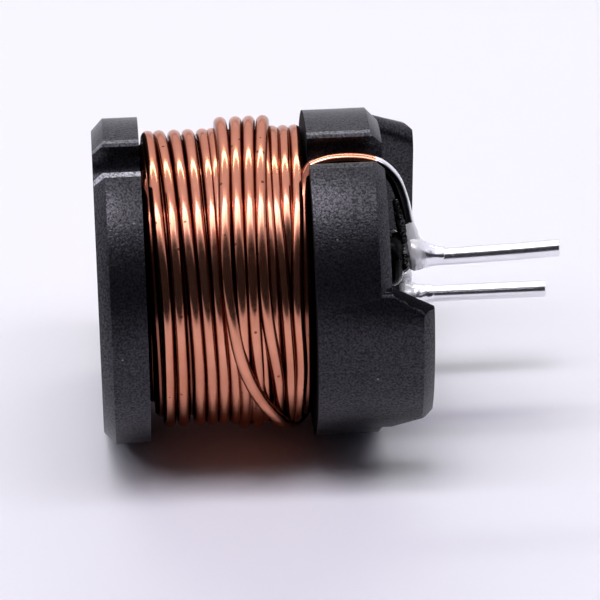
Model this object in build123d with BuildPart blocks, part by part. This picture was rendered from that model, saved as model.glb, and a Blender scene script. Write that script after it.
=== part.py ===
"""Radial power inductor: a ferrite drum core wound with enamelled wire, on two tinned pins.

Frame: the part stands as it is soldered to a board. Z = 0 is the board plane that the two feet
seat on, +Z points away from the board, and the origin lies midway between the pins, which stand
along Y. The drum's axis is a little to one side of that point, at X = drum_offset.
"""

import os
from math import acos, cos, radians, sin, sqrt

from build123d import *

os.makedirs("parts", exist_ok=True)

# ---------------------------------------------------------------- driving sizes (mm, degrees)
# Ferrite core
core_diameter = 10.0
drum_offset = 0.25  # drum axis from the middle of the pin pair, along X
foot_height = 1.25
pin_flange_thickness = 2.27
winding_window = 5.06  # between the flanges
top_flange_thickness = 1.42
hub_diameter = 5.0
rim_chamfer_height = 0.35  # along the drum's axis
rim_chamfer_depth = 0.37  # along the radius
channel_turn = 34.5  # from the pin line to the wire notches and the channel between the feet

# Feet: two segments of the rim, whose rounded ends draw in towards the board
foot_depth = 1.40  # rim to the flat inner wall, at the root
foot_draft = 0.07  # how far that wall leans outwards by the tip
foot_root_radius = 0.40
foot_tip_radius = 0.55
foot_end_bulge = 0.03  # how far each rounded end would pass the rim that trims it

# Wire notches in both rims
notch_width = 1.20
notch_depth = 1.00
notch_bevel = 0.12

# Pins
pin_diameter = 0.52  # over the tin coat, from the solder to the tip
tin_coat = 0.01
pin_pitch = 5.0
pin_reach = 4.0  # tip below the board plane
pin_hole_depth = 1.5
pin_hole_clearance = 0.03  # on the radius
pin_tip_chamfer = 0.03

# Winding: full layers, then a part layer nested on the last of them
wire_diameter = 0.40
turn_gap = 0.01
layer_squeeze = 0.01  # how much closer than touching the nested turns sit
rim_clearance = 0.05  # the least from the part layer's crest to the rim
extra_turns = 4
bare_turns = 3  # turns beside the pin flange that the part layer leaves bare

# Lead-outs: from the turn beside the pin flange, through a notch and in to each pin
lead_start_turn = 12.0  # how far back along that turn each one starts
lead_sink = 0.10  # how deep its start lies in the winding
lead_notch_clearance = 0.36  # notch floor to wire
lead_floor_clearance = 0.06  # channel floor to wire
lead_bend_radii = [0.30, 0.55]
lead_end_drop = 0.18  # wire axis below the top of the solder, at the pin

# Adhesive mound at each pin's root, then the solder cone over the wire's end
glue_height = 0.65
glue_root_width = 0.36  # from the pin's surface
glue_waist_width = 0.24
glue_top_width = 0.19
solder_length = 1.10
solder_thickness = 0.31
solder_waist_thickness = 0.10
solder_waist_drop = 0.66  # below the solder's top
solder_edge_thickness = 0.015
bead_thickness = 0.08  # solder over the wire
bead_length = 0.45  # along the wire, from its end

# ---------------------------------------------------------------- sizes worked out from these
outside = 1.0  # how far cutting shapes stand clear of the rim
core_radius = core_diameter / 2
hub_radius = hub_diameter / 2
pin_radius = pin_diameter / 2
pin_root_radius = pin_radius - tin_coat  # in the hole, the adhesive and the solder
wire_radius = wire_diameter / 2
floor_z = foot_height  # channel floor, the outer face of the pin flange
pin_flange_z = floor_z + pin_flange_thickness  # winding window, pin side
top_flange_z = pin_flange_z + winding_window
top_z = top_flange_z + top_flange_thickness
notch_heading = -90 + channel_turn
foot_heading = notch_heading - 90
foot_inner_flat = core_radius - foot_depth
turn_pitch = wire_diameter + turn_gap
turns_per_layer = int(winding_window / turn_pitch)
layer_step = sqrt(wire_diameter**2 - (turn_pitch / 2) ** 2) - layer_squeeze
full_layers = int((core_radius - rim_clearance - wire_diameter - hub_radius) / layer_step)
turn_radius = hub_radius + wire_radius + (full_layers - 1) * layer_step
first_turn_z = pin_flange_z + (winding_window - (turns_per_layer - 1) * turn_pitch) / 2
last_turn_z = first_turn_z + (turns_per_layer - 1) * turn_pitch
extra_turn_z = first_turn_z + (bare_turns - 0.5) * turn_pitch
lead_radius = core_radius - notch_depth + lead_notch_clearance + wire_radius
solder_top = floor_z - glue_height
solder_edge_z = solder_top - solder_length
sides = {"1": -1, "2": 1}  # pin number, and the side of the origin it stands on along Y

drum_axis = Axis((drum_offset, 0, 0), (0, 0, 1))
drum_section = Plane(origin=(drum_offset, 0, 0), x_dir=(1, 0, 0), z_dir=(0, -1, 0))


def drum_plane(height, heading=0.0):
    """Plane square to the drum's axis, with its own X along a heading."""
    x_dir = (cos(radians(heading)), sin(radians(heading)), 0)
    return Plane(origin=(drum_offset, 0, height), x_dir=x_dir, z_dir=(0, 0, 1))


def on_drum(radius, heading, height):
    """Point in the part's frame, from polar coordinates about the drum's axis."""
    angle = radians(heading)
    return Vector(drum_offset + radius * cos(angle), radius * sin(angle), height)


def foot_outline(inner_flat, end_radius):
    """Outline of a foot: flat inner wall and rounded ends, run out past the rim."""
    centre_radius = core_radius - end_radius + foot_end_bulge
    end_angle = acos((inner_flat + end_radius) / centre_radius)
    half_way = (end_angle + radians(180)) / 2  # round the rounded end
    centre = (centre_radius * cos(end_angle), centre_radius * sin(end_angle))
    inner = (inner_flat, centre[1])
    crest = (centre[0] + end_radius * cos(half_way), centre[1] + end_radius * sin(half_way))
    outer_radius = centre_radius + end_radius
    outer = (outer_radius * cos(end_angle), outer_radius * sin(end_angle))
    past_rim = core_radius + 2 * outside
    run_out = (past_rim * cos(end_angle), past_rim * sin(end_angle))
    ThreePointArc(inner, crest, outer)
    Polyline(outer, run_out, (run_out[0], -run_out[1]), (outer[0], -outer[1]))
    ThreePointArc((outer[0], -outer[1]), (crest[0], -crest[1]), (inner[0], -inner[1]))
    Line((inner[0], -inner[1]), inner)


# ---------------------------------------------------------------- ferrite core
# the space round the feet: the channel, and the chamfer round the channel floor's rim
with BuildPart() as foot_space:
    with BuildSketch(drum_plane(0)):
        Circle(core_radius + outside)
    extrude(amount=floor_z)
    with BuildSketch(drum_section):
        with BuildLine():
            Polyline(
                (core_radius - rim_chamfer_depth, floor_z),
                (core_radius + rim_chamfer_depth, floor_z + 2 * rim_chamfer_height),
                (core_radius + rim_chamfer_depth, floor_z),
                close=True,
            )
        make_face()
    revolve(axis=drum_axis)
    for heading in (foot_heading, foot_heading + 180):
        with BuildSketch(drum_plane(floor_z, heading)) as foot_root:
            with BuildLine():
                foot_outline(foot_inner_flat, foot_root_radius)
            make_face()
        extrude(amount=2 * rim_chamfer_height, mode=Mode.SUBTRACT)
        with BuildSketch(drum_plane(0, heading)) as foot_tip:
            with BuildLine():
                foot_outline(foot_inner_flat + foot_draft, foot_tip_radius)
            make_face()
        loft(sections=[foot_root.sketch, foot_tip.sketch], ruled=True, mode=Mode.SUBTRACT)

with BuildPart() as core:
    # hub and both flanges, with a chamfer round each end
    with BuildSketch(drum_section):
        with BuildLine():
            Polyline(
                (0, 0),
                (core_radius - rim_chamfer_depth, 0),
                (core_radius, rim_chamfer_height),
                (core_radius, pin_flange_z),
                (hub_radius, pin_flange_z),
                (hub_radius, top_flange_z),
                (core_radius, top_flange_z),
                (core_radius, top_z - rim_chamfer_height),
                (core_radius - rim_chamfer_depth, top_z),
                (0, top_z),
                close=True,
            )
        make_face()
    revolve(axis=drum_axis)
    add(foot_space.part, mode=Mode.SUBTRACT)

    # wire notches: round-bottomed slots down both rims, with bevelled mouths
    slot_end = core_radius - notch_depth + notch_width / 2
    bevel_start = core_radius - notch_bevel
    mouth = core_radius + outside
    mouth_half_width = notch_width / 2 + notch_bevel + outside
    for heading in (notch_heading, notch_heading + 180):
        with BuildSketch(drum_plane(floor_z, heading)):
            with BuildLine():
                Polyline(
                    (slot_end, notch_width / 2),
                    (bevel_start, notch_width / 2),
                    (mouth, mouth_half_width),
                    (mouth, -mouth_half_width),
                    (bevel_start, -notch_width / 2),
                    (slot_end, -notch_width / 2),
                )
                ThreePointArc(
                    (slot_end, -notch_width / 2),
                    (core_radius - notch_depth, 0),
                    (slot_end, notch_width / 2),
                )
            make_face()
        extrude(amount=top_z - floor_z, mode=Mode.SUBTRACT)

    # blind pin holes in the channel floor
    for side in sides.values():
        with BuildSketch(Plane(origin=(0, side * pin_pitch / 2, floor_z))):
                Circle(pin_root_radius + pin_hole_clearance)
        extrude(amount=pin_hole_depth, mode=Mode.SUBTRACT)

core.part.label = "core"
export_step(core.part, "parts/core.step")

# ---------------------------------------------------------------- winding and its lead-outs
bead_planes = {}
with BuildPart() as winding:
    # one round ridge a turn, on the last full layer and on the part layer above it
    with BuildSketch(drum_section):
        layers_depth = turn_radius - hub_radius
        layers_length = last_turn_z - first_turn_z + wire_diameter
        with Locations((hub_radius + layers_depth / 2, (first_turn_z + last_turn_z) / 2)):
            Rectangle(layers_depth, layers_length)
        with Locations(*[
            (turn_radius, first_turn_z + turn * turn_pitch) for turn in range(turns_per_layer)
        ]):
            Circle(wire_radius)
        extra_length = (extra_turns - 1) * turn_pitch
        with Locations((turn_radius + layer_step / 2, extra_turn_z + extra_length / 2)):
            Rectangle(layer_step, extra_length)
        with Locations(*[
            (turn_radius + layer_step, extra_turn_z + turn * turn_pitch)
            for turn in range(extra_turns)
        ]):
            Circle(wire_radius)
    revolve(axis=drum_axis)

    # a lead-out for each pin
    for number, side in sides.items():
        heading = notch_heading if side < 0 else notch_heading + 180
        pin_point = Vector(0, side * pin_pitch / 2, solder_top - lead_end_drop)
        turn_in = on_drum(lead_radius, heading, floor_z - wire_radius - lead_floor_clearance)
        away = Vector(turn_in.X - pin_point.X, turn_in.Y - pin_point.Y, 0).normalized()
        with BuildLine() as lead_path:
            FilletPolyline(
                on_drum(turn_radius - lead_sink, heading - lead_start_turn, first_turn_z),
                on_drum(lead_radius, heading, first_turn_z - lead_sink),
                turn_in,
                pin_point + away * (pin_radius + wire_radius / 2),
                radius=lead_bend_radii,
            )
        with BuildSketch(Plane(origin=lead_path.line @ 0, z_dir=lead_path.line % 0)):
            Circle(wire_radius)
        sweep()
        bead_planes[number] = Plane(origin=lead_path.line @ 1, z_dir=-(lead_path.line % 1))

winding.part.label = "winding"
export_step(winding.part, "parts/winding.step")

# ---------------------------------------------------------------- pins, solder and adhesive
for number, side in sides.items():
    pin_y = side * pin_pitch / 2
    pin_axis = Axis((0, pin_y, 0), (0, 0, 1))
    pin_section = Plane(origin=(0, pin_y, 0), x_dir=(1, 0, 0), z_dir=(0, -1, 0))

    with BuildPart() as pin:
        with BuildSketch(Plane(origin=(0, pin_y, -pin_reach))):
            Circle(pin_radius)
        extrude(amount=pin_reach + solder_edge_z)
        with BuildSketch(Plane(origin=(0, pin_y, solder_edge_z))):
            Circle(pin_root_radius)
        extrude(amount=floor_z + pin_hole_depth - solder_edge_z)
        chamfer(pin.edges().group_by(Axis.Z)[0], length=pin_tip_chamfer)

    # solder: a cone that thins to nothing down the pin, and a bead over the wire's end
    glue_top = (pin_radius + glue_top_width, solder_top)
    shoulder = (pin_radius + solder_thickness, solder_top - lead_end_drop)
    waist = (pin_radius + solder_waist_thickness, solder_top - solder_waist_drop)
    edge = (pin_radius + solder_edge_thickness, solder_edge_z)
    with BuildPart() as solder:
        with BuildSketch(pin_section):
            with BuildLine():
                Polyline(
                    (pin_root_radius, solder_edge_z),
                    (pin_root_radius, solder_top),
                    glue_top,
                    shoulder,
                )
                ThreePointArc(shoulder, waist, edge)
                Line(edge, (pin_root_radius, solder_edge_z))
            make_face()
        revolve(axis=pin_axis)
        with BuildSketch(bead_planes[number]):
            Circle(wire_radius + bead_thickness)
        extrude(amount=bead_length)
        add(winding.part, mode=Mode.SUBTRACT)

    # adhesive: a mound on the channel floor, up to the solder
    glue_root = (pin_radius + glue_root_width, floor_z)
    glue_waist = (pin_radius + glue_waist_width, (floor_z + solder_top) / 2)
    with BuildPart() as glue:
        with BuildSketch(pin_section):
            with BuildLine():
                ThreePointArc(glue_root, glue_waist, glue_top)
                Polyline(
                    glue_top,
                    (pin_root_radius, solder_top),
                    (pin_root_radius, floor_z),
                    glue_root,
                )
            make_face()
        revolve(axis=pin_axis)
        add(winding.part, mode=Mode.SUBTRACT)
        add(solder.part, mode=Mode.SUBTRACT)

    pin.part.label = f"pin_{number}"
    export_step(pin.part, f"parts/pin_{number}.step")
    solder.part.label = f"solder_{number}"
    export_step(solder.part, f"parts/solder_{number}.step")
    glue.part.label = f"glue_{number}"
    export_step(glue.part, f"parts/glue_{number}.step")
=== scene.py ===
# %% [markdown]
# # Radial power inductor
# A small choke for a circuit board: a black ferrite drum, wound with enamelled copper wire, on two
# tinned pins. The solid model is loaded first as a fixed frame, and each visible part is then made
# again in finer detail in exactly the place that the frame gives it.

# %% Load the frame
from math import cos, hypot, pi, radians, sin

import bmesh
import bpy
from mathutils import Matrix, Vector, noise


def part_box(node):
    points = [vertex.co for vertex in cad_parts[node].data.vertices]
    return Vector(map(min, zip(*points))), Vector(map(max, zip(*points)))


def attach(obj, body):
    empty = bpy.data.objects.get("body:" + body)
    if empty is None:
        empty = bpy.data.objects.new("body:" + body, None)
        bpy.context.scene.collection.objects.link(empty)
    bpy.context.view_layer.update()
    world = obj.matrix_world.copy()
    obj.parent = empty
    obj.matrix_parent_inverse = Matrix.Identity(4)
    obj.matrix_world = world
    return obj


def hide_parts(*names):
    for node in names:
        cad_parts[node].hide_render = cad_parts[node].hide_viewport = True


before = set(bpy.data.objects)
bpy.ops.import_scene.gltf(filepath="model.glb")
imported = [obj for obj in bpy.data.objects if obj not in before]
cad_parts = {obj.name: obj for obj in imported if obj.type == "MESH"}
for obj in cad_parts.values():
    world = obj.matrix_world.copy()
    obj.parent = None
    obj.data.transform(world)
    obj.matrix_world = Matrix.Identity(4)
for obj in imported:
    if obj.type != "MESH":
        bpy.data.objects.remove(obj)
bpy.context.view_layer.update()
MM = 0.001

# %% [markdown]
# ## Places
# Every place is worked out from the boxes of the frame's solids, so the pieces follow the frame.
# On the drum it is easiest to think in a turn round its axis, a radius and a height. The turn is
# counted from the side that faces the viewer, and 90 degrees is up as the part lies on its side.

# %% Places on the drum
core_low, core_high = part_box("core")
drum_x = (core_low.x + core_high.x) / 2
drum_radius = (core_high.x - core_low.x) / 2
top_z = core_high.z
axis_foot = Vector((drum_x, 0, 0))  # where the drum's axis meets the board
drum_middle = Vector((drum_x, 0, top_z / 2))
FACING = -103.5  # heading of the side that faces the viewer


def on_drum(turn, radius, height):
    """Point at a turn round the drum, in degrees from the viewer's side."""
    heading = radians(FACING + turn)
    return Vector((drum_x + radius * cos(heading), radius * sin(heading), height))


def direction(turn, tilt=0):
    """Direction out from the axis at a turn round the drum, tilted along the drum."""
    return on_drum(turn, 1, tilt) - axis_foot


toward_viewer = direction(0)
upward = direction(90)
along = Vector((0, 0, 1))
print("drum radius, mm:", round(drum_radius / MM, 3), "height, mm:", round(top_z / MM, 3))

# %% [markdown]
# ## Camera
# The camera looks square on to the drum, which lies on its side with its pins to the right. A wide
# lens close by would bend the flanges' edges into ovals, and a long one keeps them almost straight.
# The small turns make the part lean in the frame as a hand-laid part does.

# %% Camera
CAMERA_DISTANCE = 141.65 * MM
CAMERA_ALONG = 10.243 * MM
LENS = 276.6  # mm, for a sensor 36 mm wide
PAN, TILT, ROLL = 0.0454, -0.0059, -0.0439  # radians


def axes(x, y, z):
    """Rotation of a thing whose own axes point in these three directions."""
    return Matrix((x, y, z)).transposed().to_4x4()


view = sin(PAN) * cos(TILT) * -along - cos(PAN) * cos(TILT) * toward_viewer + sin(TILT) * upward
level = view.cross(upward).normalized()
above = level.cross(view)
camera_x = level * cos(ROLL) + above * sin(ROLL)
camera_y = above * cos(ROLL) - level * sin(ROLL)
camera_data = bpy.data.cameras.new("camera")
camera_data.lens = LENS
camera_data.sensor_width = 36
camera_data.clip_start = 0.01
camera = bpy.data.objects.new("camera", camera_data)
place = axis_foot + toward_viewer * CAMERA_DISTANCE + along * CAMERA_ALONG
camera.matrix_world = Matrix.Translation(place) @ axes(camera_x, camera_y, -view)
bpy.context.scene.collection.objects.link(camera)
bpy.context.scene.camera = camera
print("camera at, mm:", [round(v / MM, 1) for v in place])

# %% [markdown]
# ## Sheet
# The part lies on a matt white sheet that touches the rims of both flanges. It could be a thin
# box, but one flat face is enough, because only its upper side is lit. Seen from beneath it is
# clear, so it never hides the part from the other sides. The Backfacing value of the Geometry node
# tells the two sides apart.


# %% Material helpers
def new_material(name):
    """An empty node material, with its nodes and links."""
    material = bpy.data.materials.new(name)
    material.use_nodes = True
    nodes = material.node_tree.nodes
    nodes.clear()
    return material, nodes, material.node_tree.links


def add(nodes, kind, **values):
    """Add a node, and set its own settings and its inputs by name."""
    node = nodes.new(kind)
    for key, value in values.items():
        if hasattr(node, key):
            setattr(node, key, value)
        else:
            node.inputs[key.replace("_", " ")].default_value = value
    return node


# %% Sheet material
sheet_white, nodes, links = new_material("sheet_white")
diffuse = add(nodes, "ShaderNodeBsdfDiffuse", Color=(0.872, 0.862, 0.940, 1))
clear = add(nodes, "ShaderNodeBsdfTransparent")
side = add(nodes, "ShaderNodeNewGeometry")
mix = add(nodes, "ShaderNodeMixShader")
output = add(nodes, "ShaderNodeOutputMaterial")
links.new(side.outputs["Backfacing"], mix.inputs[0])
links.new(diffuse.outputs[0], mix.inputs[1])
links.new(clear.outputs[0], mix.inputs[2])
links.new(mix.outputs[0], output.inputs["Surface"])
print(sheet_white.name, "nodes:", len(nodes))

# %% Sheet
TABLE_TILT = 33  # degrees from the line of sight down to the sheet
SHEET_HALF = 0.6  # metres from its middle to its edge, so that the edge never shows
table_up = upward * cos(radians(TABLE_TILT)) + toward_viewer * sin(radians(TABLE_TILT))


def finish_mesh(bm, name, smooth=True):
    """Turn a bmesh into a linked object, with its place in its mesh."""
    mesh = bpy.data.meshes.new(name)
    bm.to_mesh(mesh)
    bm.free()
    for face in mesh.polygons:
        face.use_smooth = smooth
    piece = bpy.data.objects.new(name, mesh)
    bpy.context.scene.collection.objects.link(piece)
    return piece


bm = bmesh.new()
bmesh.ops.create_grid(bm, x_segments=1, y_segments=1, size=SHEET_HALF)
sheet_place = Matrix.Translation(drum_middle - table_up * drum_radius)
bmesh.ops.transform(bm, verts=bm.verts,
                    matrix=sheet_place @ axes(along, table_up.cross(along), table_up))
table = finish_mesh(bm, "table_sheet", smooth=False)
table.data.materials.append(sheet_white)
print("sheet normal:", [round(v, 3) for v in table_up], table.data.polygons[0].normal)

# %% [markdown]
# ## World
# The room above and behind the part is bright, and the room in front of it is dark. Metal shows
# the dark room as a dark band between the lamps and the sheet. Dark cards could stand there, but one
# smooth step in the world does it too. Mirrored rays see it in full, diffuse light gets a share of
# it, so that shadows stay deep, and the camera sees one plain backdrop. Light Path tells the three
# kinds of ray apart.

# %% World
ROOM_TOP = 32  # the dark room ends at this turn round the drum, and the bright one starts
ROOM_BLUR = 0.12
DIFFUSE_SHARE = 0.22
world = bpy.data.worlds.new("studio")
bpy.context.scene.world = world
world.use_nodes = True
nodes, links = world.node_tree.nodes, world.node_tree.links
nodes.clear()
rays = add(nodes, "ShaderNodeTexCoord")
facing = add(nodes, "ShaderNodeVectorMath", operation="DOT_PRODUCT")
facing.inputs[1].default_value = direction(ROOM_TOP + 90)
room = add(nodes, "ShaderNodeMapRange", interpolation_type="SMOOTHSTEP", From_Min=-ROOM_BLUR,
           From_Max=ROOM_BLUR, To_Min=0.03, To_Max=1.0)
softer = add(nodes, "ShaderNodeMath", operation="MULTIPLY")
softer.inputs[1].default_value = DIFFUSE_SHARE
path = add(nodes, "ShaderNodeLightPath")
glossy_level = add(nodes, "ShaderNodeMix", data_type="FLOAT")
seen_level = add(nodes, "ShaderNodeMix", data_type="FLOAT", B=1.0)
tint = add(nodes, "ShaderNodeMix", data_type="RGBA", A=(0.90, 0.875, 1.0, 1), B=(0.93, 0.91, 0.98, 1))
background = add(nodes, "ShaderNodeBackground")
output = add(nodes, "ShaderNodeOutputWorld")
links.new(rays.outputs["Generated"], facing.inputs[0])
links.new(facing.outputs["Value"], room.inputs["Value"])
links.new(room.outputs["Result"], softer.inputs[0])
links.new(softer.outputs[0], glossy_level.inputs["A"])
links.new(room.outputs["Result"], glossy_level.inputs["B"])
links.new(path.outputs["Is Glossy Ray"], glossy_level.inputs["Factor"])
links.new(glossy_level.outputs["Result"], seen_level.inputs["A"])
links.new(path.outputs["Is Camera Ray"], seen_level.inputs["Factor"])
links.new(path.outputs["Is Camera Ray"], tint.inputs["Factor"])
links.new(tint.outputs["Result"], background.inputs["Color"])
links.new(seen_level.outputs["Result"], background.inputs["Strength"])
links.new(background.outputs[0], output.inputs["Surface"])
print("world nodes:", len(nodes))

# %% [markdown]
# ## Lamps
# Strip lamps run along the drum, so each draws one row of highlights, at the same place on every
# turn of wire: one behind the part, and a narrow and a wide one in front of it. Point lamps would
# make dots. These are area lamps, whose width sets how soft each highlight is.

# %% Strip lamps
STRIP_AWAY = 150 * MM
STRIP_LENGTH = 300 * MM
STRIP_WATTS = 0.11  # at a strength of 1 and full length
LAMP_TINT = (1.0, 0.97, 1.03)


def strip_lamp(name, turn, strength, width, colour=LAMP_TINT, length=STRIP_LENGTH, aside=0.0):
    """A long lamp that runs along the drum, by its turn round it and its width in degrees."""
    data = bpy.data.lights.new(name, "AREA")
    data.shape = "RECTANGLE"
    data.size = length
    data.size_y = STRIP_AWAY * radians(width)
    data.energy = strength * STRIP_WATTS * length / STRIP_LENGTH
    data.color = colour
    light = bpy.data.objects.new(name, data)
    away = direction(turn)
    middle = drum_middle + away * STRIP_AWAY + along * aside
    light.matrix_world = Matrix.Translation(middle) @ axes(along, away.cross(along), away)
    light.visible_camera = False
    bpy.context.scene.collection.objects.link(light)
    return light


strips = [
    strip_lamp("lamp_behind", turn=97, strength=1.15, width=6, colour=(1.0, 1.06, 0.88), length=190 * MM),
    strip_lamp("lamp_over", turn=54, strength=0.40, width=5, aside=40 * MM),
    strip_lamp("lamp_wide", turn=47, strength=0.95, width=18, aside=40 * MM),
]
print("strip lamps, W:", {lamp.name: round(lamp.data.energy, 3) for lamp in strips})

# %% [markdown]
# A sun lamp lights everything from one direction, and its angle sets how soft it is. A small one
# makes the bright patch on each flange. The sheet has two lamps of its own, as a photographer flags
# lamps: a wide sun and a low strip, which shape its shadow and leave the part's highlights alone.
# Light linking says what each lamp reaches.


# %% Far lamp
def sun_lamp(name, turn, tilt, energy, angle):
    """A far lamp, by its turn round the drum, its tilt along it and its spread in degrees."""
    data = bpy.data.lights.new(name, "SUN")
    data.energy = energy
    data.angle = radians(angle)
    data.color = LAMP_TINT
    light = bpy.data.objects.new(name, data)
    light.rotation_euler = direction(turn, tilt).to_track_quat("Z", "Y").to_euler()
    bpy.context.scene.collection.objects.link(light)
    return light


part_lamp = sun_lamp("lamp_spot", turn=53, tilt=0.25, energy=0.70, angle=6)
print(part_lamp.name, "strength:", round(part_lamp.data.energy, 3))

# %% Lamps for the sheet alone
low_lamp = strip_lamp("lamp_low", turn=36, strength=0.12, width=4)
sheet_lamp = sun_lamp("lamp_sheet", turn=52, tilt=0.10, energy=0.74, angle=22)
sheet_only = bpy.data.collections.new("sheet_only")
sheet_only.objects.link(table)
for lamp in (low_lamp, sheet_lamp):
    lamp.light_linking.receiver_collection = sheet_only
part_only = bpy.data.collections.new("all_but_the_sheet")
part_only.objects.link(table)
part_only.collection_objects[0].light_linking.link_state = "EXCLUDE"
part_lamp.light_linking.receiver_collection = part_only
bpy.context.scene.view_settings.view_transform = "Standard"

# %% [markdown]
# ## Shared effects
# Ferrite, solder and wire all have small-scale grain, and some have stray specks. A painted image
# would need every piece laid out flat, but noise fills space and needs nothing. Each effect is one
# node group, built once and given its own numbers in each material. Grain is noise at two sizes,
# and specks are those cells of a Voronoi pattern that are picked by their random colour.


# %% Grain group
def group(name, inputs, outputs):
    """A node group with number sockets, and its two end nodes."""
    tree = bpy.data.node_groups.new(name, "ShaderNodeTree")
    for label, value in inputs.items():
        socket = tree.interface.new_socket(label, in_out="INPUT", socket_type="NodeSocketFloat")
        socket.default_value = value
    for label in outputs:
        tree.interface.new_socket(label, in_out="OUTPUT", socket_type="NodeSocketFloat")
    return tree, tree.nodes.new("NodeGroupInput"), tree.nodes.new("NodeGroupOutput")


grain, inside, outside = group("Grain", {"Per Metre": 10000, "Detail": 4}, ["Tone", "Cloud"])
nodes, links = grain.nodes, grain.links
where = add(nodes, "ShaderNodeTexCoord")
fine = add(nodes, "ShaderNodeTexNoise", Roughness=0.65)
cloud = add(nodes, "ShaderNodeTexNoise", Detail=3.0, Roughness=0.6)
wide = add(nodes, "ShaderNodeMath", operation="MULTIPLY")
wide.inputs[1].default_value = 0.12
links.new(where.outputs["Object"], fine.inputs["Vector"])
links.new(where.outputs["Object"], cloud.inputs["Vector"])
links.new(inside.outputs["Per Metre"], fine.inputs["Scale"])
links.new(inside.outputs["Detail"], fine.inputs["Detail"])
links.new(inside.outputs["Per Metre"], wide.inputs[0])
links.new(wide.outputs[0], cloud.inputs["Scale"])
links.new(fine.outputs["Fac"], outside.inputs["Tone"])
links.new(cloud.outputs["Fac"], outside.inputs["Cloud"])
print(grain.name, "nodes:", len(nodes))

# %% Speck group
specks, inside, outside = group("Specks", {"Per Metre": 2000, "Size": 0.12, "Share": 0.3}, ["Mask"])
nodes, links = specks.nodes, specks.links
where = add(nodes, "ShaderNodeTexCoord")
cells = add(nodes, "ShaderNodeTexVoronoi")
near = add(nodes, "ShaderNodeMath", operation="LESS_THAN")
pick = add(nodes, "ShaderNodeMath", operation="LESS_THAN")
both = add(nodes, "ShaderNodeMath", operation="MULTIPLY")
split = add(nodes, "ShaderNodeSeparateColor")
links.new(where.outputs["Object"], cells.inputs["Vector"])
links.new(inside.outputs["Per Metre"], cells.inputs["Scale"])
links.new(cells.outputs["Distance"], near.inputs[0])
links.new(inside.outputs["Size"], near.inputs[1])
links.new(cells.outputs["Color"], split.inputs[0])
links.new(split.outputs[0], pick.inputs[0])
links.new(inside.outputs["Share"], pick.inputs[1])
links.new(near.outputs[0], both.inputs[0])
links.new(pick.outputs[0], both.inputs[1])
links.new(both.outputs[0], outside.inputs["Mask"])


def use(nodes, tree, **values):
    """Put a group into a material, with its numbers by name."""
    node = nodes.new("ShaderNodeGroup")
    node.node_tree = tree
    for key, value in values.items():
        node.inputs[key.replace("_", " ")].default_value = value
    return node


print("groups:", [tree.name for tree in bpy.data.node_groups])

# %% [markdown]
# ## Ferrite
# Sintered ferrite is almost black, hard and slightly glossy, with a grain like fine sandpaper and
# a few pale crumbs. Its colour alone shows little of that, so the grain also drives the roughness
# and a shallow bump. Edges are greyer: all of them a little from wear, the notch lips more, from
# wear and a painted highlight, and the near foot's upper edge as a painted highlight. The mesh marks
# them with an "edge" value on each face, which the material reads as an attribute.

# %% Ferrite material
ferrite, nodes, links = new_material("ferrite")
surface = add(nodes, "ShaderNodeBsdfPrincipled", IOR=1.40, Specular_Tint=(0.93, 0.90, 1.0, 1))
output = add(nodes, "ShaderNodeOutputMaterial")
sand = use(nodes, grain, Per_Metre=13500, Detail=2)
crumbs = use(nodes, specks, Per_Metre=2600, Size=0.10, Share=0.04)
tone = add(nodes, "ShaderNodeMapRange", From_Min=0.3, From_Max=0.7)
colour = add(nodes, "ShaderNodeMix", data_type="RGBA", A=(0.002, 0.002, 0.003, 1),
             B=(0.006, 0.0055, 0.008, 1))
speckled = add(nodes, "ShaderNodeMix", data_type="RGBA", B=(0.16, 0.16, 0.15, 1))
edge = add(nodes, "ShaderNodeAttribute", attribute_name="edge")
patchy = add(nodes, "ShaderNodeMath", operation="MULTIPLY")
# pale grey: wear on the edges, and a painted highlight on the notch lips and the near foot's upper edge
wear_and_highlight = add(nodes, "ShaderNodeMix", data_type="RGBA", B=(0.80, 0.80, 0.90, 1))
bump = add(nodes, "ShaderNodeBump", Strength=1.0, Distance=0.012 * MM)
links.new(sand.outputs["Tone"], tone.inputs["Value"])
links.new(tone.outputs[0], colour.inputs["Factor"])
links.new(colour.outputs["Result"], speckled.inputs["A"])
links.new(crumbs.outputs["Mask"], speckled.inputs["Factor"])
links.new(edge.outputs["Fac"], patchy.inputs[0])
links.new(tone.outputs[0], patchy.inputs[1])
links.new(patchy.outputs[0], wear_and_highlight.inputs["Factor"])
links.new(speckled.outputs["Result"], wear_and_highlight.inputs["A"])
links.new(wear_and_highlight.outputs["Result"], surface.inputs["Base Color"])
links.new(sand.outputs["Tone"], bump.inputs["Height"])
links.new(bump.outputs[0], surface.inputs["Normal"])
links.new(surface.outputs[0], output.inputs["Surface"])
print(ferrite.name, "colour and bump nodes:", len(nodes))

# %% [markdown]
# The grains sparkle where a lamp glances off them. A deeper bump would do it, but it looks like
# leather. Instead a second grain makes some grains more reflective than others. Faces with a
# "smear" value are dull: they reflect less and are rougher.

# %% Ferrite sparkle
glint = use(nodes, grain, Per_Metre=15000, Detail=1)
sparkle = add(nodes, "ShaderNodeMapRange", From_Min=0.34, From_Max=0.66, To_Min=0.24, To_Max=0.88)
rough = add(nodes, "ShaderNodeMapRange", To_Min=0.26, To_Max=0.40)
smeared = add(nodes, "ShaderNodeAttribute", attribute_name="smear")
dull = add(nodes, "ShaderNodeMath", operation="MULTIPLY_ADD")
dull.inputs[1].default_value = -1.3
dull.inputs[2].default_value = 1.0
shine = add(nodes, "ShaderNodeMath", operation="MULTIPLY")
matt = add(nodes, "ShaderNodeMath", operation="ADD")
links.new(glint.outputs["Tone"], sparkle.inputs["Value"])
links.new(smeared.outputs["Fac"], dull.inputs[0])
links.new(dull.outputs[0], shine.inputs[0])
links.new(sparkle.outputs[0], shine.inputs[1])
links.new(shine.outputs[0], surface.inputs["Specular IOR Level"])
links.new(sand.outputs["Tone"], rough.inputs["Value"])
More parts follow.
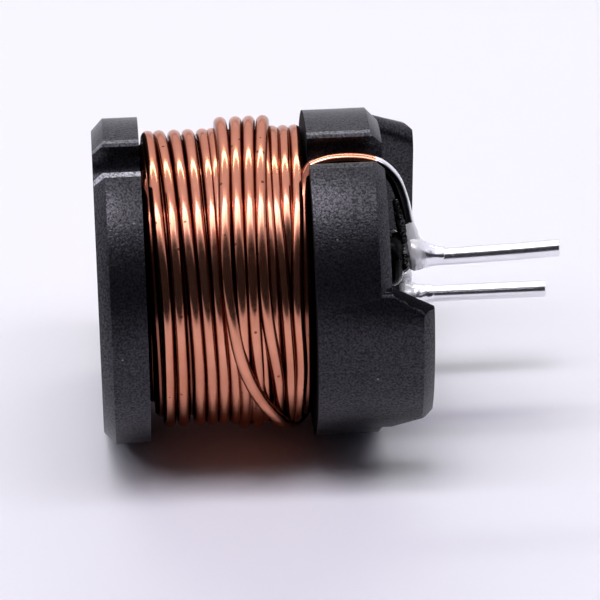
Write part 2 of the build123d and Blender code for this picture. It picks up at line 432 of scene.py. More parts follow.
links.new(rough.outputs[0], matt.inputs[0])
links.new(smeared.outputs["Fac"], matt.inputs[1])
links.new(matt.outputs[0], surface.inputs["Roughness"])
print(ferrite.name, "nodes:", len(nodes))

# %% [markdown]
# ## Core
# The core is one pressed piece, so its shape is taken from the frame's solid and only its edges are
# worked on. The lips of the notches are where the wire was drawn over the rim: they are worn, and
# they get a painted highlight where a lamp would glance off them, brightest on the lower lip of the
# top flange. A narrow band beside each lip is cut off the rim with a bisecting plane and marked.


# %% Copy of the solid
def solid_copy(node):
    """A merged copy of a frame solid, ready for mesh tools."""
    bm = bmesh.new()
    bm.from_mesh(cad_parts[node].data)
    bmesh.ops.remove_doubles(bm, verts=bm.verts, dist=0.0005 * MM)
    bmesh.ops.dissolve_limit(bm, angle_limit=radians(0.5), verts=bm.verts, edges=bm.edges)
    bmesh.ops.recalc_face_normals(bm, faces=bm.faces)
    return bm


bm = solid_copy("core")
edge_layer = bm.faces.layers.float.new("edge")
smear_layer = bm.faces.layers.float.new("smear")
print("faces of the solid:", len(bm.faces))


# %% Lips of the notches
SHARP = radians(25)


def middle_of(edge):
    """Middle of an edge."""
    return (edge.verts[0].co + edge.verts[1].co) / 2


def is_sharp(edge):
    """Whether the two faces beside an edge meet at a clear angle."""
    return edge.is_manifold and edge.calc_face_angle(0) > SHARP


def is_lip(edge):
    """Whether an edge is the lip of a notch: it runs along the axis, on a flange's rim."""
    run = edge.verts[1].co - edge.verts[0].co
    off = middle_of(edge) - axis_foot
    return (abs(run.z) > 0.99 * run.length and run.length > 1.0 * MM
            and hypot(off.x, off.y) > 0.97 * drum_radius)


lips = []  # for each: its middle, the way out from the axis, and the way round to the rim
for edge in [e for e in bm.edges if is_sharp(e) and is_lip(e)]:
    middle = middle_of(edge)
    radial = Vector((middle.x - drum_x, middle.y, 0)).normalized()
    rim = max(edge.link_faces, key=lambda f: f.normal.dot(radial))
    aside = along.cross(radial)
    if (rim.calc_center_median() - middle).dot(aside) < 0:
        aside.negate()
    lips.append((middle, radial, aside))
print("notch lips:", [(round(m.z / MM, 2), round(r.dot(upward), 2)) for m, r, _ in lips])

# %% Worn bands with a painted highlight beside the lips
BAND = 0.18 * MM
NEIGHBOUR = 0.6 * MM  # how far from a lip a rim face is cut
SAME_FLANGE = 0.9 * MM  # how far along the axis a flange's own faces lie from a lip's middle
UPPER_LIP = 0.72  # of the way up: a notch's upper lip looks higher than this
# how pale each lip band is painted: wear, and a painted highlight where a lamp would glance off it
LIP_WEAR_AND_HIGHLIGHT_TOP, LIP_WEAR_AND_HIGHLIGHT_PIN, LIP_WEAR_AND_HIGHLIGHT_UPPER = 1.0, 0.08, 0.30


def beside_lip(face, middle, radial, aside, reach):
    """Whether a rim face lies within reach of a lip."""
    away = face.calc_center_median() - middle
    return 0 < away.dot(aside) < reach and face.normal.dot(radial) > 0.6 and abs(away.z) < SAME_FLANGE


for middle, radial, aside in lips:
    near = [f for f in bm.faces if beside_lip(f, middle, radial, aside, NEIGHBOUR)]
    geom = near + list({e for f in near for e in f.edges}) + list({v for f in near for v in f.verts})
    bmesh.ops.bisect_plane(bm, geom=geom, dist=0.0001 * MM, plane_co=middle + aside * BAND, plane_no=aside)
    lip_wear_and_highlight = LIP_WEAR_AND_HIGHLIGHT_TOP if middle.z > top_z / 2 else LIP_WEAR_AND_HIGHLIGHT_PIN
    if radial.dot(upward) >= UPPER_LIP:
        lip_wear_and_highlight = LIP_WEAR_AND_HIGHLIGHT_UPPER
    for face in bm.faces:
        if beside_lip(face, middle, radial, aside, BAND):
            face[edge_layer] = lip_wear_and_highlight
print("rubbed faces:", sum(face[edge_layer] > 0 for face in bm.faces))

# %% [markdown]
# The drum's flat ends and the slope of each foot keep the matt skin of the press tool, so they are
# marked as dull before the edges are rounded.


# %% Dull faces
FEET = 1.4 * MM  # everything below this height belongs to the feet
DULL_SLOPE, DULL_END = 0.6, 0.5


def is_flat_end(face):
    """Whether a face lies square to the drum's axis."""
    return abs(face.normal.z) > 0.999


for face in bm.faces:
    off = face.calc_center_median() - axis_foot
    out = Vector((off.x, off.y, 0)).normalized()
    if (off.z < FEET and abs(off.dot(upward)) < 1.5 * MM and abs(face.normal.dot(upward)) > 0.3
            and face.normal.z > -0.6 and face.normal.dot(out) < 0.85):
        face[smear_layer] = DULL_SLOPE
    if is_flat_end(face):
        face[smear_layer] = DULL_END
print("dull faces:", sum(face[smear_layer] > 0 for face in bm.faces))

# %% [markdown]
# No pressed part has a truly sharp edge, and a rounded one catches a thin line of light. The end of
# the far foot is rounded most. A bevel of the mesh is used and not a Bevel modifier, because the new
# faces can then be marked: they are a little greyer from wear, but for the near foot's slope, where
# only the upper edge is marked, with a stronger painted highlight, and the lower one is dull.


# %% Rounded edges
EDGE_RADIUS, FAR_END_RADIUS = 0.035 * MM, 0.24 * MM
NEAR_FOOT = 3.4 * MM  # the near foot's slope is further than this towards the viewer
RUB_EDGE, FOOT_EDGE_HIGHLIGHT = 0.12, 0.45


def ends_far_foot(edge):
    """Whether a sharp edge goes round the upper end of the far foot, at the board."""
    off = middle_of(edge) - axis_foot
    flat = abs(edge.verts[0].co.z - edge.verts[1].co.z) < 0.01 * MM
    return (is_sharp(edge) and flat and off.z < 0.45 * MM and off.dot(upward) > 1.0 * MM
            and off.dot(toward_viewer) < 0 and hypot(off.x, off.y) > 0.9 * drum_radius)


def round_edges(edges, width, segments):
    """Round edges of the core, and return the new faces."""
    return bmesh.ops.bevel(bm, geom=edges, offset=width, segments=segments, profile=0.5,
                           affect="EDGES", clamp_overlap=True, material=-1)["faces"]


far_end = [e for e in bm.edges if ends_far_foot(e)]
round_edges(far_end, FAR_END_RADIUS, segments=4)
sharp = [e for e in bm.edges if is_sharp(e)]
for face in round_edges(sharp, EDGE_RADIUS, segments=2):
    off = face.calc_center_median() - axis_foot
    face[edge_layer] = RUB_EDGE
    if off.z < FEET and -1.6 * MM < off.dot(upward) < 0 and off.dot(toward_viewer) > NEAR_FOOT:
        # painted highlight on the near foot's upper edge; its lower edge is left dark and dull
        upper = face.normal.dot(upward) > 0.6
        face[edge_layer] = FOOT_EDGE_HIGHLIGHT if upper else 0.0
        face[smear_layer] = 0.0 if upper else DULL_SLOPE
print("rounded edges:", len(sharp), "of them first at the far foot's end:", len(far_end))

# %% [markdown]
# Smooth shading blends the normals of neighbouring faces. That is right for the rims, but a wide
# flat end would shade like a dish, so the ends are kept flat.

# %% Ferrite core
core = finish_mesh(bm, "ferrite_core")
core.data.set_sharp_from_angle(angle=radians(28))
for face in core.data.polygons:
    if is_flat_end(face):
        face.use_smooth = False
core.data.materials.append(ferrite)
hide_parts("core")
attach(core, "root")
print("ferrite faces:", len(core.data.polygons))

# %% [markdown]
# ## Winding
# The coil is one length of enamelled wire: in through the first pin's notch, along the window in
# layers, back as four turns on top, and across them all to the other notch. A perfect helix would
# look machine-made. So each turn of wire gets its height at four places round the drum, and one
# smooth line is led through them all: the turns lean, crowd and gap as hand-laid wire does.

# %% Wire sizes
wire_radius = 0.20 * MM
layer_step = 0.333 * MM  # a nested layer stands this far out from the one beneath
flange_z = 3.52 * MM  # pin flange, the side towards the winding
window = 5.06 * MM
crest_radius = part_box("winding")[1].x - drum_x
part_layer_radius = crest_radius - wire_radius
turn_radius = part_layer_radius - layer_step
print("winding crest, mm:", round(crest_radius / MM, 3))


# %% Lines through stations
def through(stations, step=5.0):
    """Points of a smooth line through (turn, radius, height) stations, about a step apart."""
    points = []
    for i in range(len(stations) - 1):
        a, b = stations[i], stations[i + 1]
        before = stations[max(i - 1, 0)]
        after = stations[min(i + 2, len(stations) - 1)]
        span = b[0] - a[0]
        count = max(1, round(abs(span) / step))
        for k in range(count):
            t = k / count
            values = []
            for n in (1, 2):
                start = (b[n] - before[n]) / (b[0] - before[0]) * span
                end = (after[n] - a[n]) / (after[0] - a[0]) * span
                values.append(a[n] * (2 * t**3 - 3 * t**2 + 1) + b[n] * (3 * t**2 - 2 * t**3)
                              + start * (t**3 - 2 * t**2 + t) + end * (t**3 - t**2))
            points.append(on_drum(a[0] + span * t, values[0] * MM, values[1] * MM))
    points.append(on_drum(stations[-1][0], stations[-1][1] * MM, stations[-1][2] * MM))
    return points


# %% [markdown]
# Round wire could be swept with a Curve to Mesh node. A curve with a bevel depth does the same with
# two settings, and its mesh can then be marked: each vertex gets a "crest" value, which says how
# far it faces out from the drum.


# %% Wire along a line
def outward(vert):
    """1 on the side of a wire that faces out from the drum, and 0 on its flanks."""
    return vert.normal.dot(Vector((vert.co.x - drum_x, vert.co.y, 0)).normalized())


def baked(piece):
    """A bmesh of an object with its curve settings or modifiers applied. The object goes."""
    graph = bpy.context.evaluated_depsgraph_get()
    mesh = bpy.data.meshes.new_from_object(piece.evaluated_get(graph))
    bpy.data.objects.remove(piece)
    bm = bmesh.new()
    bm.from_mesh(mesh)
    bpy.data.meshes.remove(mesh)
    return bm


def wire_piece(name, line, order=0, sides=3, crest_of=outward):
    """A mesh tube of round wire along a line of points, with the crest attribute."""
    data = bpy.data.curves.new(name, "CURVE")
    data.dimensions = "3D"
    data.bevel_depth = wire_radius
    data.bevel_resolution = sides
    data.use_fill_caps = True
    spline = data.splines.new("NURBS" if order else "POLY")
    spline.points.add(len(line) - 1)
    for point, co in zip(spline.points, line):
        point.co = (*co, 1)
    if order:
        spline.order_u = order
        spline.use_endpoint_u = True
        spline.resolution_u = 6
    curve = bpy.data.objects.new(name + "_line", data)
    bpy.context.scene.collection.objects.link(curve)
    bm = baked(curve)
    bpy.data.curves.remove(data)
    bmesh.ops.recalc_face_normals(bm, faces=bm.faces)
    bm.normal_update()
    crest = bm.verts.layers.float.new("crest")
    for vert in bm.verts:
        vert[crest] = crest_of(vert)
    return finish_mesh(bm, name)


# %% Turns of the outer layer
R = turn_radius / MM
P = part_layer_radius / MM
D = R - layer_step / MM
# each turn's heights in mm at these four places, from the top flange to the pin flange
TURNS_AT = (90, 30, -10, -45)
outer_turns = [
    (8.28, 8.15, 8.00, 7.98), (7.93, 7.71, 7.62, 7.57), (7.47, 7.32, 7.15, 7.06),
    (7.04, 6.93, 6.79, 6.69), (6.60, 6.50, 6.42, 6.33), (6.31, 6.27, 6.14, 5.98),
    (5.93, 5.88, 5.75, 5.62), (5.55, 5.52, 5.50, 5.40), (5.16, 5.18, 5.14, 5.11),
    (4.78, 4.80, 4.80, 4.74), (4.46, 4.56, 4.45, 4.33), (4.12, 4.26, 4.20, 4.10),
    (3.78, 3.93, 4.08, 4.01),
]
winding_line = [(210, D - 0.1, 8.30), (160, D + 0.05, 8.32), (125, R - 0.06, 8.31)]
for count, heights in enumerate(outer_turns):
    for at, height in zip(TURNS_AT, heights):
        radius = R
        if count == 11 and at < 20:  # this turn slips down between its neighbours
            radius = R - 0.30
        if count == 12 and at < 90:  # and the last one starts to sink
            radius = R - 0.04
        winding_line.append((at - 360 * count, radius, height))
print("turns of the outer layer:", len(outer_turns), "stations:", len(winding_line))

# %% Turns of the part layer
part_turns = [
    (4.72, 5.03, 5.04, 4.71), (5.15, 5.37, 5.40, 5.30), (5.56, 5.74, 5.74, 5.70),
]
SINK = (0.0, 0.0, 0.02, 0.22)  # the part layer's turns dip where the last one crosses them
for count, heights in enumerate(part_turns, start=len(outer_turns)):
    for at, height, sink in zip(TURNS_AT, heights, SINK):
        winding_line.append((at - 360 * count, P - sink, height))
    winding_line.append((-70 - 360 * count, P - 0.30, heights[-1] - 0.02))
    winding_line.append((-110 - 360 * count, P - 0.10, heights[-1]))
last = len(outer_turns) + len(part_turns)
for at, radius, height in [(90, P, 6.04), (46, P, 6.04), (20, P, 6.14), (-6, P, 6.13),
                           (-27, P + 0.02, 5.91), (-36, P + 0.06, 5.73), (-44, P + 0.08, 5.51),
                           (-54, P + 0.08, 5.17), (-64, P + 0.05, 4.80), (-72, P - 0.02, 4.60),
                           (-82, P - 0.14, 4.45), (-95, P - 0.12, 4.20), (-108, P - 0.1, 3.85),
                           (-122, 4.60, 3.60)]:
    winding_line.append((at - 360 * last, radius, height))
outer_line = through(winding_line)
print("turns on show:", last + 1, "points:", len(outer_line))

# %% [markdown]
# ## Wire finish
# Copper shows through clear enamel with a warm red-brown cast. The metal is a little rough and the
# enamel over it is glossy, so a coat over a metallic base gives both highlights at once. The grooves
# between the turns get painted shade: off the crests the colour goes to a dark red-brown. Ambient
# occlusion would find the grooves too, but it also darkens under the flanges, so the crest value of
# the wire is used.

# %% Enamelled copper material
enamel, nodes, links = new_material("enamelled_copper")
surface = add(nodes, "ShaderNodeBsdfPrincipled", Metallic=1.0, Coat_Weight=0.12, Coat_Roughness=0.06,
              Specular_Tint=(0.85, 0.66, 0.58, 1))
output = add(nodes, "ShaderNodeOutputMaterial")
drawn = use(nodes, grain, Per_Metre=5000, Detail=3)
stains = use(nodes, specks, Per_Metre=3600, Size=0.18, Share=0.20)
tone = add(nodes, "ShaderNodeMapRange", From_Min=0.3, From_Max=0.7)
copper = add(nodes, "ShaderNodeMix", data_type="RGBA", A=(0.60, 0.225, 0.130, 1), B=(0.72, 0.31, 0.20, 1))
stained = add(nodes, "ShaderNodeMix", data_type="RGBA", B=(0.22, 0.08, 0.05, 1))
crest = add(nodes, "ShaderNodeAttribute", attribute_name="crest")
# painted shade: the crest value keeps the copper on the crests and mixes it to a dark red-brown in the
# grooves between turns
lit_side = add(nodes, "ShaderNodeMapRange", interpolation_type="SMOOTHSTEP", From_Min=0.46, From_Max=1.0)
groove_shade = add(nodes, "ShaderNodeMix", data_type="RGBA", A=(0.13, 0.032, 0.020, 1))
rough = add(nodes, "ShaderNodeMapRange", To_Min=0.10, To_Max=0.25)
links.new(drawn.outputs["Cloud"], tone.inputs["Value"])
links.new(tone.outputs[0], copper.inputs["Factor"])
links.new(copper.outputs["Result"], stained.inputs["A"])
links.new(stains.outputs["Mask"], stained.inputs["Factor"])
links.new(crest.outputs["Fac"], lit_side.inputs["Value"])
links.new(lit_side.outputs[0], groove_shade.inputs["Factor"])
links.new(stained.outputs["Result"], groove_shade.inputs["B"])
links.new(groove_shade.outputs["Result"], surface.inputs["Base Color"])
links.new(drawn.outputs["Tone"], rough.inputs["Value"])
links.new(rough.outputs[0], surface.inputs["Roughness"])
links.new(surface.outputs[0], output.inputs["Surface"])
print(enamel.name, "nodes:", len(nodes))

# %% [markdown]
# Tin is a bright metal that freezes with slow waves. The wire's stripped ends are dipped in it too,
# but only one side of them is bright: the other is painted near-black, as the shade of the bent wire
# and its reflection of the dark room. Which side is which is again the crest value, made uneven with
# noise.

# %% Bright tin material
tin, nodes, links = new_material("bright_tin")
surface = add(nodes, "ShaderNodeBsdfPrincipled", Metallic=1.0)
output = add(nodes, "ShaderNodeOutputMaterial")
flow = use(nodes, grain, Per_Metre=7000, Detail=3)
colour = add(nodes, "ShaderNodeMix", data_type="RGBA", A=(0.80, 0.79, 0.83, 1), B=(0.95, 0.95, 0.97, 1))
rough = add(nodes, "ShaderNodeMapRange", To_Min=0.12, To_Max=0.34)
bump = add(nodes, "ShaderNodeBump", Strength=0.3, Distance=0.01 * MM)
links.new(flow.outputs["Cloud"], colour.inputs["Factor"])
links.new(colour.outputs["Result"], surface.inputs["Base Color"])
links.new(flow.outputs["Tone"], rough.inputs["Value"])
links.new(rough.outputs[0], surface.inputs["Roughness"])
links.new(flow.outputs["Cloud"], bump.inputs["Height"])
links.new(bump.outputs[0], surface.inputs["Normal"])
links.new(surface.outputs[0], output.inputs["Surface"])
print(tin.name, "nodes:", len(nodes))

# %% Dipped wire material
dipped_wire, nodes, links = new_material("dipped_wire")
surface = add(nodes, "ShaderNodeBsdfPrincipled", Metallic=1.0)
output = add(nodes, "ShaderNodeOutputMaterial")
crest = add(nodes, "ShaderNodeAttribute", attribute_name="crest")
lit_side = add(nodes, "ShaderNodeMapRange", interpolation_type="SMOOTHSTEP", From_Min=0.55, From_Max=1.05)
flow = use(nodes, grain, Per_Metre=7000, Detail=3)
uneven = add(nodes, "ShaderNodeMath", operation="MULTIPLY_ADD")
uneven.inputs[1].default_value = 0.5
uneven.inputs[2].default_value = -0.25
spread = add(nodes, "ShaderNodeMath", operation="ADD")
# painted shade: near-black on the side away from the light, bright tin on the other
colour = add(nodes, "ShaderNodeMix", data_type="RGBA", A=(0.030, 0.029, 0.032, 1), B=(0.95, 0.95, 0.97, 1))
rough = add(nodes, "ShaderNodeMapRange", To_Min=0.10, To_Max=0.30)
links.new(flow.outputs["Cloud"], uneven.inputs[0])
links.new(crest.outputs["Fac"], spread.inputs[0])
links.new(uneven.outputs[0], spread.inputs[1])
links.new(spread.outputs[0], lit_side.inputs["Value"])
links.new(lit_side.outputs[0], colour.inputs["Factor"])
links.new(colour.outputs["Result"], surface.inputs["Base Color"])
links.new(flow.outputs["Tone"], rough.inputs["Value"])
links.new(rough.outputs[0], surface.inputs["Roughness"])
links.new(surface.outputs[0], output.inputs["Surface"])
print(dipped_wire.name, "nodes:", len(nodes))

# %% [markdown]
# ## Coil
# The outer layer and the turns on top are one tube. Each turn beneath lies in the groove between
# two turns of the layer above it, and only slivers of it show, so its crest value is lowered, which
# paints it a little darker as shade. What lies deeper is a ridged sleeve, spun from its profile: full
# turns there would cost triangles that nobody sees.

# %% Outer layer
coil = wire_piece("coil_outer_layers", outer_line, sides=5)
coil.data.materials.append(enamel)
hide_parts("winding")
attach(coil, "root")
print("coil triangles:", sum(len(f.vertices) - 2 for f in coil.data.polygons))

# %% Layer beneath
inner_line = [(90, D, 8.38), (30, D, 8.36), (-10, D, 8.30), (-45, D, 8.24)]
for count in range(len(outer_turns) - 1):
    for at, one, two in zip(TURNS_AT, outer_turns[count], outer_turns[count + 1]):
        inner_line.append((at - 360 * (count + 1), D, (one + two) / 2))
# the crest value is lowered here, so the enamel paints this layer darker as shade
inner = wire_piece("coil_inner_layer", through(inner_line), crest_of=lambda vert: outward(vert) - 0.35)
inner.data.materials.append(enamel)
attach(inner, "root")
print("stations of the layer beneath:", len(inner_line))

# %% Bed of deeper layers
STEPS = 96  # four to a ridge, and as many round the drum
END_GAP = 0.02 * MM
bm = bmesh.new()
profile = []
for k in range(STEPS + 1):
    height = flange_z + END_GAP + (window - 2 * END_GAP) * k / STEPS
    radius = turn_radius - 2 * layer_step + 0.07 * MM * abs(sin(pi * k / 4))
    profile.append(bm.verts.new(on_drum(0, radius, height)))
edges = [bm.edges.new((a, b)) for a, b in zip(profile, profile[1:])]
bmesh.ops.spin(bm, geom=profile + edges, cent=axis_foot, axis=along, angle=2 * pi, steps=STEPS,
               use_merge=True)
bmesh.ops.recalc_face_normals(bm, faces=bm.faces)
bed = finish_mesh(bm, "coil_deep_layers")
# it has no crest value, so the enamel gives it the dark painted groove shade all over
bed.data.materials.append(enamel)
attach(bed, "root")
print("bed faces:", len(bed.data.polygons))

# %% [markdown]
# ## Lead-outs
# Each end of the wire leaves the window through a notch, lies along it, turns in over the channel
# between the feet and ends in the solder at its pin. The last stretch is stripped and tinned. The
# line is given point by point and drawn as a NURBS curve, which rounds every bend by itself.


# %% Lines of the lead-outs
def beside(up, near, height):
    """Point by its distances up from the drum's axis, and nearer than it, and its height."""
    return axis_foot + (upward * up + toward_viewer * near + along * height) * MM


lead_lines = {
    "1": through([
        (-230, D, 4.3), (-190, D + 0.1, 4.0), (-140, R - 0.2, 3.84), (-60, R - 0.2, 3.80),
        (-25, R - 0.2, 3.80), (5, R - 0.2, 3.78), (30, R - 0.15, 3.74), (40, R - 0.04, 3.66)], 8)
    + [beside(*p) for p in [
        (3.10, 3.06, 3.52), (3.195, 3.05, 3.38), (3.30, 3.08, 3.05), (3.35, 3.10, 2.77),
        (3.36, 3.15, 2.35), (3.33, 3.20, 1.93), (3.25, 3.20, 1.60), (3.13, 3.20, 1.34),
        (2.94, 3.15, 1.12), (2.67, 3.10, 0.91), (2.35, 3.00, 0.80), (2.03, 2.90, 0.70),
        (1.69, 2.80, 0.63), (1.33, 2.70, 0.57), (0.96, 2.60, 0.49), (0.68, 2.55, 0.45)]],
    "2": outer_line[-6:] + [beside(*p) for p in [
        (-3.22, -3.05, 3.36), (-3.32, -3.08, 3.05), (-3.36, -3.10, 2.77),
        (-3.36, -3.15, 2.35), (-3.33, -3.20, 1.93), (-3.25, -3.20, 1.60), (-3.14, -3.20, 1.34),
        (-2.97, -3.15, 1.12), (-2.75, -3.08, 0.91), (-2.50, -2.98, 0.80), (-2.24, -2.88, 0.70),
        (-1.98, -2.77, 0.63), (-1.72, -2.66, 0.57), (-1.45, -2.55, 0.50), (-1.20, -2.46, 0.45)]],
}
print("points of the lead-outs:", {number: len(line) for number, line in lead_lines.items()})

# %% Lead-outs
TIN_FROM = 1.50 * MM
SIDES = {"1": 1, "2": -1}  # the second lead-out is the first one turned by half a turn


def lead_crest(up):
    """Crest rule of a lead-out, which paints shade: lowered in the notch, lit on the upper side above the
    tin, and on the outer side at the bend.
    """
    outer = up * 0.75 - along * 0.66

    def crest(vert):
        # painted shade: the wire down in the notch, and the lower side of the wire below it, take the dark
        # groove colour
        if vert.co.z > flange_z - 0.05 * MM:
            return outward(vert) - 0.30
        if vert.co.z > TIN_FROM:
            return 0.8 + 0.9 * vert.normal.dot(up)
        return 0.38 + 0.9 * vert.normal.dot(outer)

    return crest


for number, line in lead_lines.items():
    lead = wire_piece("lead_out_" + number, line, order=4, sides=5,
                      crest_of=lead_crest(upward * SIDES[number]))
    lead.data.materials.append(enamel)
    lead.data.materials.append(dipped_wire)
    for face in lead.data.polygons:
        face.material_index = int(face.center.z < TIN_FROM)
    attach(lead, "root")
    print(lead.name, "lowest point, mm:", round(min(v.co.z for v in lead.data.vertices) / MM, 3))

# %% [markdown]
# ## Pins
# The pins are round wire, dipped in tin. The near one was bent a little when it was soldered. Each
# is a ring that is extruded from height to height and moved a little up or down at each, which
# bends it without a curve or an armature.

# %% Pins
PIN_RADIUS = 0.26 * MM
TIP_SHARE = 0.88  # of the radius, at the rounded-off tip
PIN_HEIGHTS = (2.6, 0.6, 0.0, -0.9, -2.0, -3.0, -3.9, -3.97, -4.0)
pin_lean = {"1": (0.0, -0.03, -0.045, -0.03, 0.0, 0.035, 0.075, 0.077, 0.078), "2": (0.0,) * 9}


def pin_foot(number):
    """Where a pin's axis meets the board."""
    low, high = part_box("pin_" + number)
    return (low + high) / 2 * Vector((1, 1, 0))


for number, lean in pin_lean.items():
    bm = bmesh.new()
    ring = bmesh.ops.create_circle(bm, segments=32, radius=PIN_RADIUS, cap_ends=True)["verts"]
    bmesh.ops.translate(bm, verts=ring, vec=pin_foot(number) + along * PIN_HEIGHTS[0] * MM)
    loop = list({e for v in ring for e in v.link_edges})
    for k in range(1, len(lean)):
        new = bmesh.ops.extrude_edge_only(bm, edges=loop)["geom"]
        ring = [g for g in new if isinstance(g, bmesh.types.BMVert)]
        loop = [g for g in new if isinstance(g, bmesh.types.BMEdge)]
        step = along * (PIN_HEIGHTS[k] - PIN_HEIGHTS[k - 1]) + upward * (lean[k] - lean[k - 1])
        bmesh.ops.translate(bm, verts=ring, vec=step * MM)
    centre = sum((v.co for v in ring), Vector()) / len(ring)
    bmesh.ops.scale(bm, verts=ring, vec=(TIP_SHARE, TIP_SHARE, 1), space=Matrix.Translation(-centre))
    bmesh.ops.contextual_create(bm, geom=loop)
    bmesh.ops.recalc_face_normals(bm, faces=bm.faces)
    pin = finish_mesh(bm, "tinned_pin_" + number)
    pin.data.set_sharp_from_angle(angle=radians(30))
    pin.data.materials.append(tin)
    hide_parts("pin_" + number)
    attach(pin, "root")
    print(pin.name, "faces:", len(pin.data.polygons))

# %% [markdown]
# ## Solder
# Solder wets the pin and the wire's end and freezes in a smooth waisted cone. Sculpting would do
# it, but nobody could repeat that. So each joint is made from simple rounded forms that overlap, a
# voxel remesh joins them into one skin, and noise makes the skin a little uneven.


# %% Fused lumps
def lathe(bm, axis_points, sides=40):
    """Rings round a line of (point, radius), capped at both ends."""
    rings = []
    for point, radius in axis_points:
        made = bmesh.ops.create_circle(bm, segments=sides, radius=radius)
        bmesh.ops.translate(bm, verts=made["verts"], vec=point)
        rings.append(list({e for v in made["verts"] for e in v.link_edges}))
    for one, two in zip(rings, rings[1:]):
        bmesh.ops.bridge_loops(bm, edges=one + two)
    for ring in (rings[0], rings[-1]):
        bmesh.ops.contextual_create(bm, geom=ring)


def ball(bm, point, size):
    """A ball by its middle and its three radii."""
    made = bmesh.ops.create_icosphere(bm, subdivisions=3, radius=1)
    bmesh.ops.scale(bm, verts=made["verts"], vec=size)
    bmesh.ops.translate(bm, verts=made["verts"], vec=point)


def fused(bm, name, voxel, smooth, lump, lump_size):
    """One skin over overlapping forms, smoothed and then made a little uneven."""
    bmesh.ops.recalc_face_normals(bm, faces=bm.faces)
    rough_piece = finish_mesh(bm, name + "_rough")
    remesh = rough_piece.modifiers.new("skin", "REMESH")
    remesh.mode = "VOXEL"
    remesh.voxel_size = voxel
    evened = rough_piece.modifiers.new("even", "SMOOTH")
    evened.iterations = smooth
    evened.factor = 0.5
    skin = baked(rough_piece)
    skin.normal_update()
    for vert in skin.verts:
        vert.co += vert.normal * lump * noise.noise(vert.co / lump_size)
    return finish_mesh(skin, name)


# %% [markdown]
# The solder is bright metal where it meets the pin, and frosted and white nearer the wire. It is
# the tin again, with less metal in it the higher it lies.

# %% Dull solder material
solder = tin.copy()
solder.name = "dull_solder"
nodes, links = solder.node_tree.nodes, solder.node_tree.links
surface = next(n for n in nodes if n.type == "BSDF_PRINCIPLED")
where = add(nodes, "ShaderNodeTexCoord")
height = add(nodes, "ShaderNodeSeparateXYZ")
shiny = add(nodes, "ShaderNodeMapRange", interpolation_type="SMOOTHSTEP", From_Min=0.02 * MM,
            From_Max=0.28 * MM, To_Min=1.0, To_Max=0.2)
links.new(where.outputs["Object"], height.inputs[0])
links.new(height.outputs["Z"], shiny.inputs["Value"])
links.new(shiny.outputs[0], surface.inputs["Metallic"])
print(solder.name, "nodes:", len(nodes))

# %% Solder joints
CONE = [(0.62, 0.40), (0.54, 0.52), (0.42, 0.54), (0.30, 0.51), (0.12, 0.43), (-0.06, 0.36),
        (-0.25, 0.31), (-0.42, 0.28), (-0.50, 0.265)]  # height and radius in mm
SLANT, SLANT_FROM = 0.15, -0.3  # the cone leans to the wire above this height
BEADS = 18
for number in "12":
    foot = pin_foot(number)
    end = lead_lines[number][-1]
    lean = (end - foot) * Vector((1, 1, 0))
    lean.normalize()
    bm = bmesh.new()
    lathe(bm, [(foot + along * h * MM + lean * max(0.0, (h - SLANT_FROM) * SLANT) * MM, r * MM)
               for h, r in CONE])
    for k in range(BEADS + 1):  # a sleeve that thins up the wire
        radius = 0.28 - 0.16 * (k / BEADS) ** 1.5
        ball(bm, end.lerp(lead_lines[number][-4], k / BEADS), Vector((1, 1, 1)) * radius * MM)
    if number == "2":
        ball(bm, foot + (upward * 0.58 + along * 0.42) * MM, Vector((0.30, 0.30, 0.28)) * MM)
    joint = fused(bm, "solder_joint_" + number, voxel=0.022 * MM, smooth=8, lump=0.012 * MM,
                  lump_size=0.16 * MM)
    joint.data.materials.append(solder)
    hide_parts("solder_" + number)
    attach(joint, "root")
    print(joint.name, "faces:", len(joint.data.polygons))

# %% [markdown]
# ## Adhesive
# A drop of dark resin holds each pin in its hole. It set glossy but lies in the shade, so a low
# index keeps it from mirroring the room, and a lathed dome fused like the solder gives its shape.

# %% Dark resin material
resin, nodes, links = new_material("dark_resin")
surface = add(nodes, "ShaderNodeBsdfPrincipled", Roughness=0.12, IOR=1.13,
              Base_Color=(0.002, 0.002, 0.0025, 1))
output = add(nodes, "ShaderNodeOutputMaterial")
links.new(surface.outputs[0], output.inputs["Surface"])
print(resin.name, "nodes:", len(nodes))

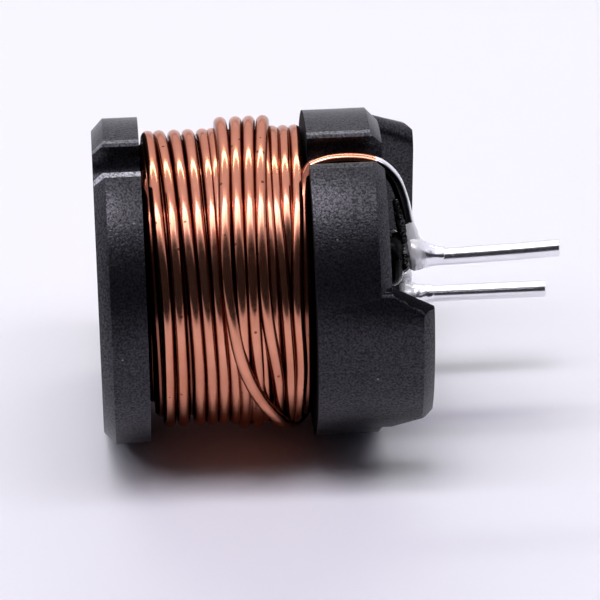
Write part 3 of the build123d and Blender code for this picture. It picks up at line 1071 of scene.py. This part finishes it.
# %% Adhesive mounds
DOME = [(1.27, 0.88), (1.2, 0.88), (1.05, 0.88), (0.93, 0.82), (0.82, 0.68), (0.74, 0.50), (0.6, 0.40)]
for number in "12":
    bm = bmesh.new()
    lathe(bm, [(pin_foot(number) + along * h * MM, r * MM) for h, r in DOME])
    mound = fused(bm, "adhesive_mound_" + number, voxel=0.025 * MM, smooth=8, lump=0.012 * MM,
                  lump_size=0.20 * MM)
    mound.data.materials.append(resin)
    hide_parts("glue_" + number)
    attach(mound, "root")
    print(mound.name, "faces:", len(mound.data.polygons))

# %% [markdown]
# ## Burnt flux
# Flux boils out of the joint and burns to a black crust behind the wire and round the cone. It is
# a string of small balls along the wire, fused with stronger noise, with pale flecks of ash.

# %% Sooty flux material
flux, nodes, links = new_material("sooty_flux")
surface = add(nodes, "ShaderNodeBsdfPrincipled", Roughness=0.25)
output = add(nodes, "ShaderNodeOutputMaterial")
soot = use(nodes, grain, Per_Metre=7000, Detail=4)
tone = add(nodes, "ShaderNodeMapRange", From_Min=0.58, From_Max=0.72)
colour = add(nodes, "ShaderNodeMix", data_type="RGBA", A=(0.003, 0.002, 0.002, 1), B=(0.09, 0.08, 0.08, 1))
bump = add(nodes, "ShaderNodeBump", Strength=0.6, Distance=0.015 * MM)
links.new(soot.outputs["Tone"], tone.inputs["Value"])
links.new(tone.outputs[0], colour.inputs["Factor"])
links.new(colour.outputs["Result"], surface.inputs["Base Color"])
links.new(soot.outputs["Tone"], bump.inputs["Height"])
links.new(bump.outputs[0], surface.inputs["Normal"])
links.new(surface.outputs[0], output.inputs["Surface"])
print(flux.name, "nodes:", len(nodes))

# %% Burnt flux
PER_SPAN = 5  # balls between two points of the path
for number in "12":
    foot = pin_foot(number)
    near = toward_viewer * SIDES[number]
    up = upward * SIDES[number]
    path = lead_lines[number][-5:] + [foot + (up * 0.05 + along * 0.50 + near * 0.35) * MM,
                                      foot + (up * -0.35 + along * 0.52 + near * 0.30) * MM]
    bm = bmesh.new()
    for i, (one, two) in enumerate(zip(path, path[1:])):
        for k in range(PER_SPAN):
            point = one.lerp(two, k / PER_SPAN) + (along * 0.22 + near * 0.10) * MM
            size = 0.10 + 0.06 * min(1.0, (i * PER_SPAN + k) / 8)
            ball(bm, point, Vector((1, 1, 1)) * size * MM)
    crust = fused(bm, "burnt_flux_" + number, voxel=0.02 * MM, smooth=3, lump=0.03 * MM,
                  lump_size=0.08 * MM)
    crust.data.materials.append(flux)
    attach(crust, "root")
    print(crust.name, "faces:", len(crust.data.polygons))
